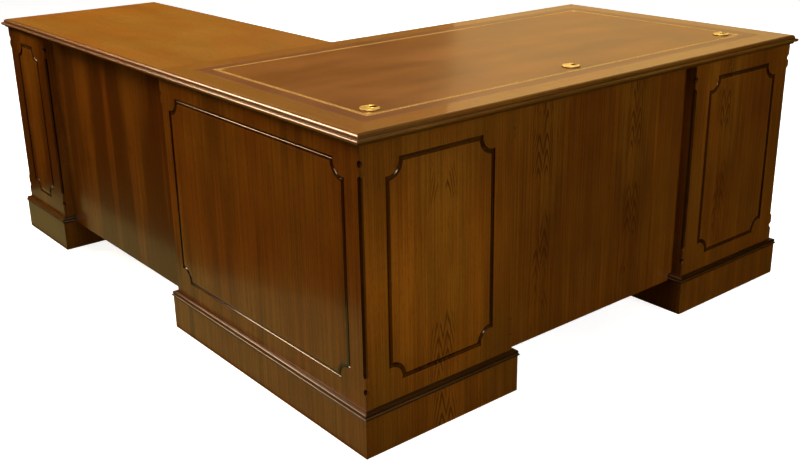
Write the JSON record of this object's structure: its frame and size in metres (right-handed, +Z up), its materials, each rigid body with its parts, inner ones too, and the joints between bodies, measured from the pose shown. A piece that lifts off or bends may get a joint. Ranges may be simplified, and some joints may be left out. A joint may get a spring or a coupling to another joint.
{
  "type": "corner desk",
  "caption": "L-shaped executive pedestal desk with a leather writing surface, grooved panels, brass cable grommets, drawers and a corner cupboard.",
  "frame": {"origin": "on the floor, under the middle of the desk's outline box", "axes": "+Z up; -Y is the visitor's side of the main desk; +X runs along the main desk away from the return; the return runs along +Y on the -X side"},
  "size_m": [1.676, 2.086, 0.7807],
  "materials": {
    "top_veneer": "gloss golden-brown oak veneer",
    "moulding": "gloss stained oak moulding",
    "case_veneer": "satin dark brown oak veneer",
    "inner_wood": "plain sanded hardwood",
    "leather": "polished brown hide with gold tooling",
    "brass": "polished"
  },
  "bodies": {
    "carcase": {"main_top_board": "top_veneer", "main_top_edge": "moulding", "leather_inset": "leather", "return_top_board": "top_veneer", "return_top_edge": "moulding", "main_modesty_panel": "case_veneer", "return_modesty_panel": "case_veneer", "fixing_cleats": "inner_wood", "grommet_liners": "brass", "corner_outer_side": "case_veneer", "corner_inner_side": "case_veneer", "corner_back_panel": "case_veneer", "corner_frame": "inner_wood", "corner_plinth": "case_veneer", "corner_plinth_cap": "moulding", "far_outer_side": "case_veneer", "far_inner_side": "case_veneer", "far_back_panel": "case_veneer", "far_frame": "inner_wood", "far_plinth": "case_veneer", "far_plinth_cap": "moulding", "return_outer_side": "case_veneer", "return_inner_side": "case_veneer", "return_back_panel": "case_veneer", "return_frame": "inner_wood", "return_plinth": "case_veneer", "return_plinth_cap": "moulding", "cupboard_hinges": "brass", "cupboard_shelf": "inner_wood", "shelf_pins": "brass"},
    "grommet_cap_1": {"grommet_cap_1": "brass"},
    "grommet_cap_2": {"grommet_cap_2": "brass"},
    "grommet_cap_3": {"grommet_cap_3": "brass"},
    "far_drawer_1": {"far_drawer_1_front": "case_veneer", "far_drawer_1_box": "inner_wood", "far_drawer_1_pull_posts": "brass"},
    "far_drawer_1_bail": {"far_drawer_1_bail": "brass"},
    "far_drawer_2": {"far_drawer_2_front": "case_veneer", "far_drawer_2_box": "inner_wood", "far_drawer_2_pull_posts": "brass"},
    "far_drawer_2_bail": {"far_drawer_2_bail": "brass"},
    "far_drawer_3": {"far_drawer_3_front": "case_veneer", "far_drawer_3_box": "inner_wood", "far_drawer_3_pull_posts": "brass"},
    "far_drawer_3_bail": {"far_drawer_3_bail": "brass"},
    "return_drawer_1": {"return_drawer_1_front": "case_veneer", "return_drawer_1_box": "inner_wood", "return_drawer_1_pull_posts": "brass"},
    "return_drawer_1_bail": {"return_drawer_1_bail": "brass"},
    "return_drawer_2": {"return_drawer_2_front": "case_veneer", "return_drawer_2_box": "inner_wood", "return_drawer_2_pull_posts": "brass"},
    "return_drawer_2_bail": {"return_drawer_2_bail": "brass"},
    "return_drawer_3": {"return_drawer_3_front": "case_veneer", "return_drawer_3_box": "inner_wood", "return_drawer_3_pull_posts": "brass"},
    "return_drawer_3_bail": {"return_drawer_3_bail": "brass"},
    "cupboard_door": {"cupboard_door": "case_veneer", "cupboard_door_leaves": "brass", "cupboard_knob": "brass"}
  },
  "joints": [
    {"name": "grommet_cap_1_turn", "type": "hinge", "parent": "carcase", "child": "grommet_cap_1", "pos_m": [-0.676, -0.878, 0.779], "axis": [0, 0, 1], "continuous": true},
    {"name": "grommet_cap_2_turn", "type": "hinge", "parent": "carcase", "child": "grommet_cap_2", "pos_m": [0, -0.878, 0.779], "axis": [0, 0, 1], "continuous": true},
    {"name": "grommet_cap_3_turn", "type": "hinge", "parent": "carcase", "child": "grommet_cap_3", "pos_m": [0.676, -0.878, 0.779], "axis": [0, 0, 1], "continuous": true},
    {"name": "far_drawer_1_slide", "type": "slide", "parent": "carcase", "child": "far_drawer_1", "axis": [0, 1, 0], "range_m": [0, 0.38]},
    {"name": "far_drawer_1_bail_swing", "type": "hinge", "parent": "far_drawer_1", "child": "far_drawer_1_bail", "pos_m": [0.5875, -0.1335, 0.67133], "axis": [1, 0, 0], "range_deg": [0, 85]},
    {"name": "far_drawer_2_slide", "type": "slide", "parent": "carcase", "child": "far_drawer_2", "axis": [0, 1, 0], "range_m": [0, 0.38]},
    {"name": "far_drawer_2_bail_swing", "type": "hinge", "parent": "far_drawer_2", "child": "far_drawer_2_bail", "pos_m": [0.5875, -0.1335, 0.51533], "axis": [1, 0, 0], "range_deg": [0, 85]},
    {"name": "far_drawer_3_slide", "type": "slide", "parent": "carcase", "child": "far_drawer_3", "axis": [0, 1, 0], "range_m": [0, 0.38]},
    {"name": "far_drawer_3_bail_swing", "type": "hinge", "parent": "far_drawer_3", "child": "far_drawer_3_bail", "pos_m": [0.5875, -0.1335, 0.27933], "axis": [1, 0, 0], "range_deg": [0, 85]},
    {"name": "return_drawer_1_slide", "type": "slide", "parent": "carcase", "child": "return_drawer_1", "axis": [1, 0, 0], "range_m": [0, 0.38]},
    {"name": "return_drawer_1_bail_swing", "type": "hinge", "parent": "return_drawer_1", "child": "return_drawer_1_bail", "pos_m": [-0.2425, 0.86775, 0.67133], "axis": [0, -1, 0], "range_deg": [0, 85]},
    {"name": "return_drawer_2_slide", "type": "slide", "parent": "carcase", "child": "return_drawer_2", "axis": [1, 0, 0], "range_m": [0, 0.38]},
    {"name": "return_drawer_2_bail_swing", "type": "hinge", "parent": "return_drawer_2", "child": "return_drawer_2_bail", "pos_m": [-0.2425, 0.86775, 0.51533], "axis": [0, -1, 0], "range_deg": [0, 85]},
    {"name": "return_drawer_3_slide", "type": "slide", "parent": "carcase", "child": "return_drawer_3", "axis": [1, 0, 0], "range_m": [0, 0.38]},
    {"name": "return_drawer_3_bail_swing", "type": "hinge", "parent": "return_drawer_3", "child": "return_drawer_3_bail", "pos_m": [-0.2425, 0.86775, 0.27933], "axis": [0, -1, 0], "range_deg": [0, 85]},
    {"name": "cupboard_door_swing", "type": "hinge", "parent": "carcase", "child": "cupboard_door", "pos_m": [-0.746, -0.1216, 0.426], "axis": [0, 0, 1], "range_deg": [0, 85]}
  ]
}
